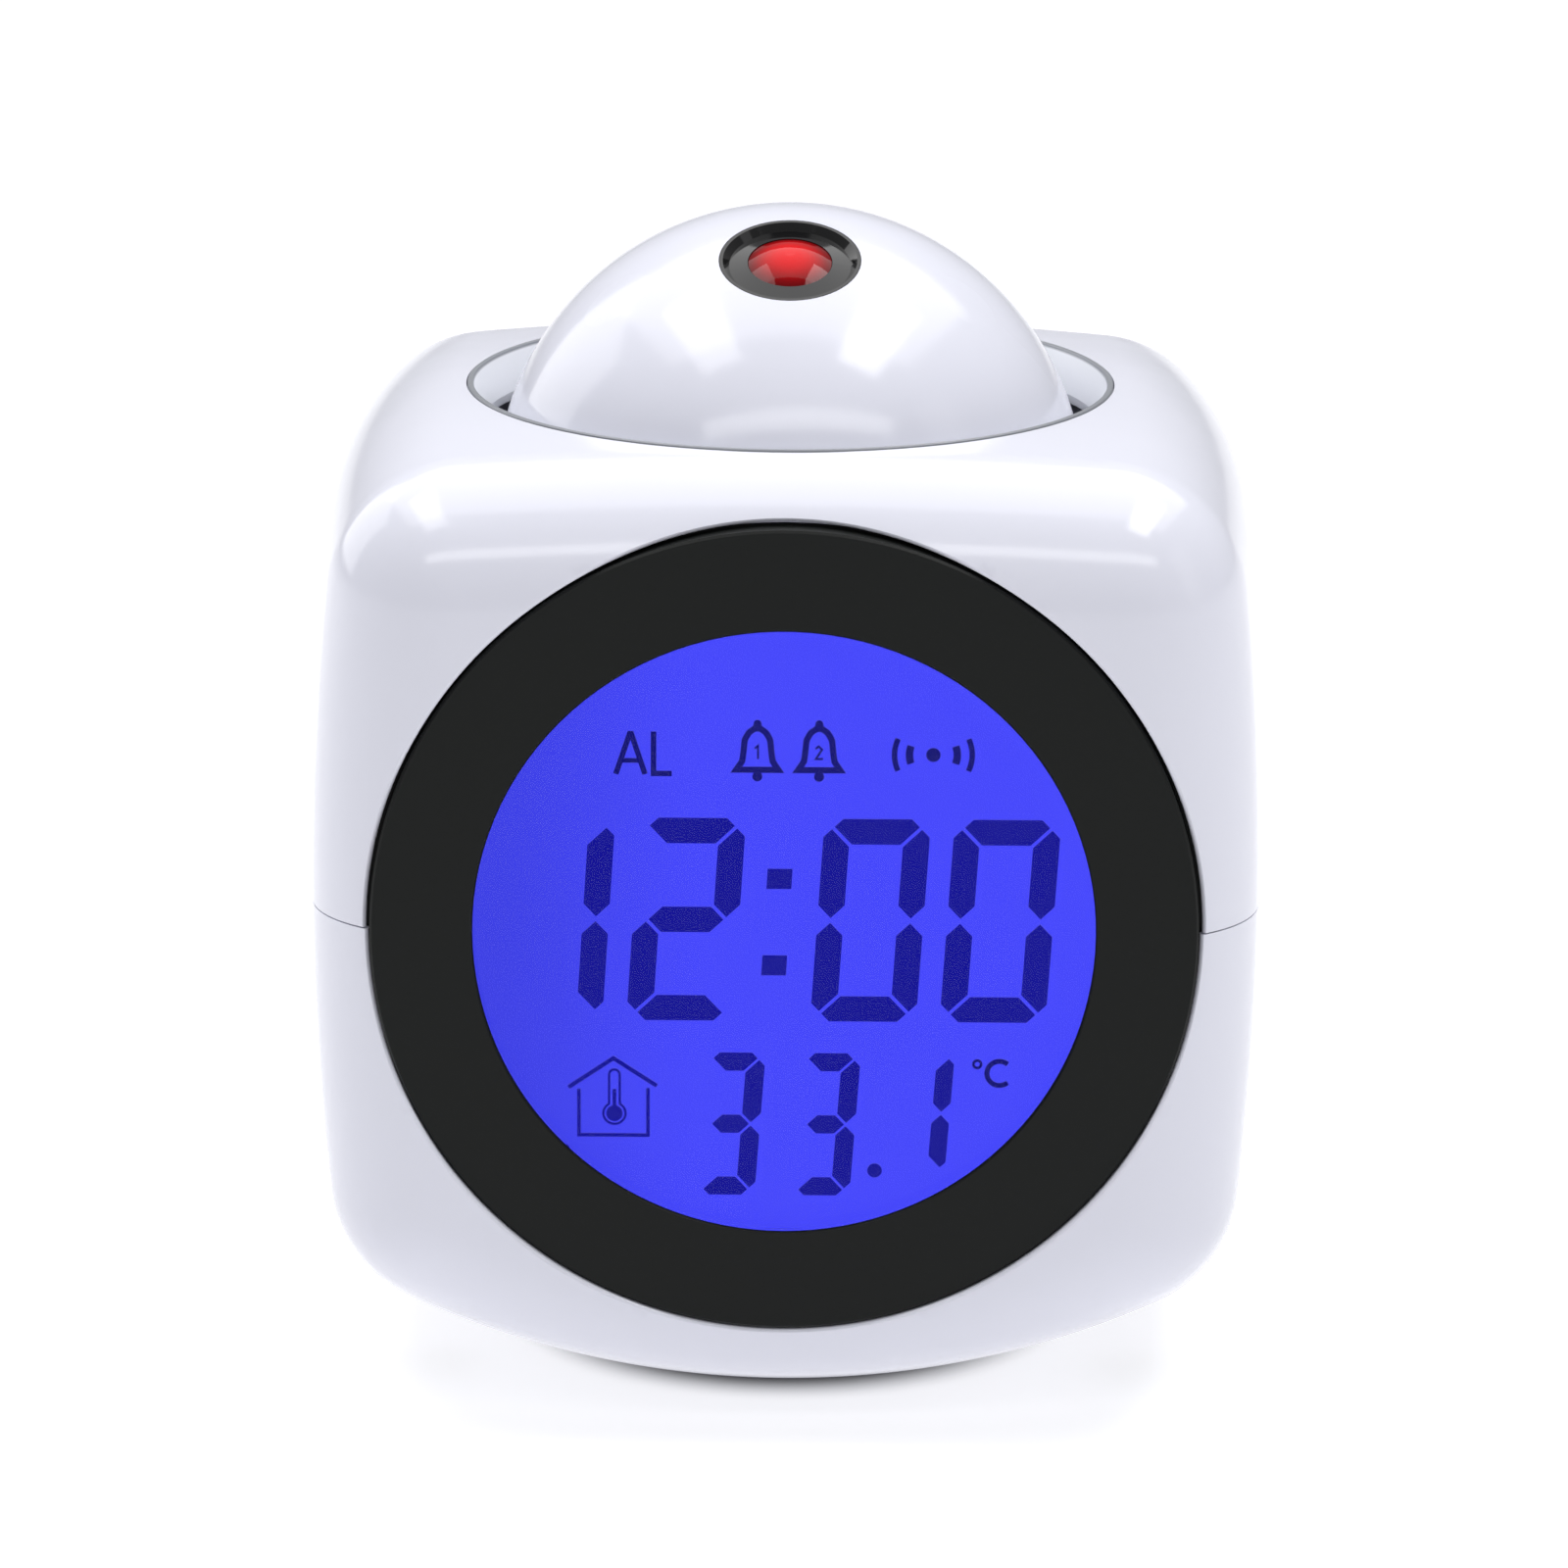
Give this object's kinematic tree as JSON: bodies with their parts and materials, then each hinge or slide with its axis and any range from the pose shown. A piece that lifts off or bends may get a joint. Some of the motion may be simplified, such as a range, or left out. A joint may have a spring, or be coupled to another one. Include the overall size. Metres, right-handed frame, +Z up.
{
  "type": "projection alarm clock",
  "caption": "Bedside alarm clock: puffed cube with a round display, a tilting projector ball that presses for snooze, rear keys and battery bay.",
  "frame": {"origin": "on the table, under the middle of the case", "axes": "+Z up, display facing -Y, +X to the right as seen from the front"},
  "size_m": [0.084, 0.076, 0.101],
  "materials": {
    "white_gloss": "glossy white moulded ABS",
    "ring_silver": "silver-grey painted plastic, semi-gloss",
    "bezel_black": "black moulded plastic, satin",
    "clear_window": "clear polished acrylic",
    "lcd_glass": "blue negative LCD glass, dark segments",
    "guide_acrylic": "clear acrylic light guide, blue lit",
    "lamp_blue": "blue epoxy lamp",
    "frame_white": "white moulded plastic, matt",
    "inner_plastic": "light grey moulded plastic, matt",
    "strip_rubber": "conductive silicone rubber",
    "foot_rubber": "black rubber, matt",
    "circuit_board": "green solder-masked circuit board",
    "screw_steel": "zinc-plated steel",
    "spring_steel": "bare spring steel wire",
    "chip_resin": "black epoxy drop",
    "crystal_can": "drawn metal can",
    "capacitor_sleeve": "dark blue sleeve",
    "sensor_bead": "dark epoxy bead",
    "barrel_black": "black moulded plastic, gloss",
    "red_lens": "red tinted polished acrylic",
    "film_glass": "small display film between glass plates",
    "clear_lens": "clear polished acrylic",
    "lamp_red": "red epoxy lamp",
    "switch_black": "black switch body, matt",
    "contact_nickel": "nickel-plated steel",
    "cell_jacket": "printed steel jacket, plain",
    "speaker_steel": "black pressed steel",
    "cone_film": "clear film cone",
    "ferrite": "sintered ferrite"
  },
  "bodies": {
    "case": {"upper_case": "white_gloss", "lower_case": "white_gloss", "feet": "foot_rubber", "case_screws": "screw_steel", "dome_ring": "ring_silver", "bezel": "bezel_black", "display_window": "clear_window", "lcd_panel": "lcd_glass", "light_guide": "guide_acrylic", "backlight_lamps": "lamp_blue", "lcd_frame": "frame_white", "contact_strip": "strip_rubber", "main_board": "circuit_board", "board_screws": "screw_steel", "clock_chip": "chip_resin", "crystal": "crystal_can", "capacitor": "capacitor_sleeve", "heat_sensor": "sensor_bead", "chassis": "inner_plastic", "cradle_springs": "spring_steel", "snooze_board": "circuit_board", "snooze_switch": "switch_black", "snooze_screws": "screw_steel", "key_board": "circuit_board", "key_switches": "switch_black", "key_board_screws": "screw_steel", "battery_box": "frame_white", "cell_top": "cell_jacket", "cell_middle": "cell_jacket", "cell_bottom": "cell_jacket", "link_plates": "contact_nickel", "end_plates": "contact_nickel", "contact_springs": "contact_nickel", "speaker_frame": "speaker_steel", "speaker_cone": "cone_film", "speaker_magnet": "ferrite"},
    "head": {"head_cradle": "inner_plastic"},
    "ball": {"ball_cover": "white_gloss", "ball_base": "white_gloss", "ball_screws": "screw_steel", "lens_barrel": "barrel_black", "projection_lens": "red_lens", "projection_film": "film_glass", "condenser_lens": "clear_lens", "projector_lamp": "lamp_red", "lamp_board": "circuit_board"},
    "mode_key": {"mode_key": "white_gloss"},
    "set_key": {"set_key": "white_gloss"},
    "up_key": {"up_key": "white_gloss"},
    "down_key": {"down_key": "white_gloss"},
    "battery_door": {"battery_door": "white_gloss"}
  },
  "joints": [
    {"name": "head_press", "type": "slide", "parent": "case", "child": "head", "axis": [0, 0, -1], "range_m": [0, 0.0015], "stiffness_N_per_m": 600, "springref_m": -0.003, "deforming": ["cradle_springs"]},
    {"name": "ball_tilt", "type": "hinge", "parent": "head", "child": "ball", "pos_m": [0, 0, 0.07502], "axis": [1, 0, 0], "range_deg": [-75, 30]},
    {"name": "mode_key_press", "type": "slide", "parent": "case", "child": "mode_key", "axis": [0, -1, 0], "range_m": [0, 0.00045], "stiffness_N_per_m": 400, "springref_m": -0.002},
    {"name": "set_key_press", "type": "slide", "parent": "case", "child": "set_key", "axis": [0, -1, 0], "range_m": [0, 0.00045], "stiffness_N_per_m": 400, "springref_m": -0.002},
    {"name": "up_key_press", "type": "slide", "parent": "case", "child": "up_key", "axis": [0, -1, 0], "range_m": [0, 0.00045], "stiffness_N_per_m": 400, "springref_m": -0.002},
    {"name": "down_key_press", "type": "slide", "parent": "case", "child": "down_key", "axis": [0, -1, 0], "range_m": [0, 0.00045], "stiffness_N_per_m": 400, "springref_m": -0.002},
    {"name": "battery_door_tip", "type": "hinge", "parent": "case", "child": "battery_door", "pos_m": [0, 0.03639, 0.0173], "axis": [-1, 0, 0], "range_deg": [0, 60]}
  ]
}
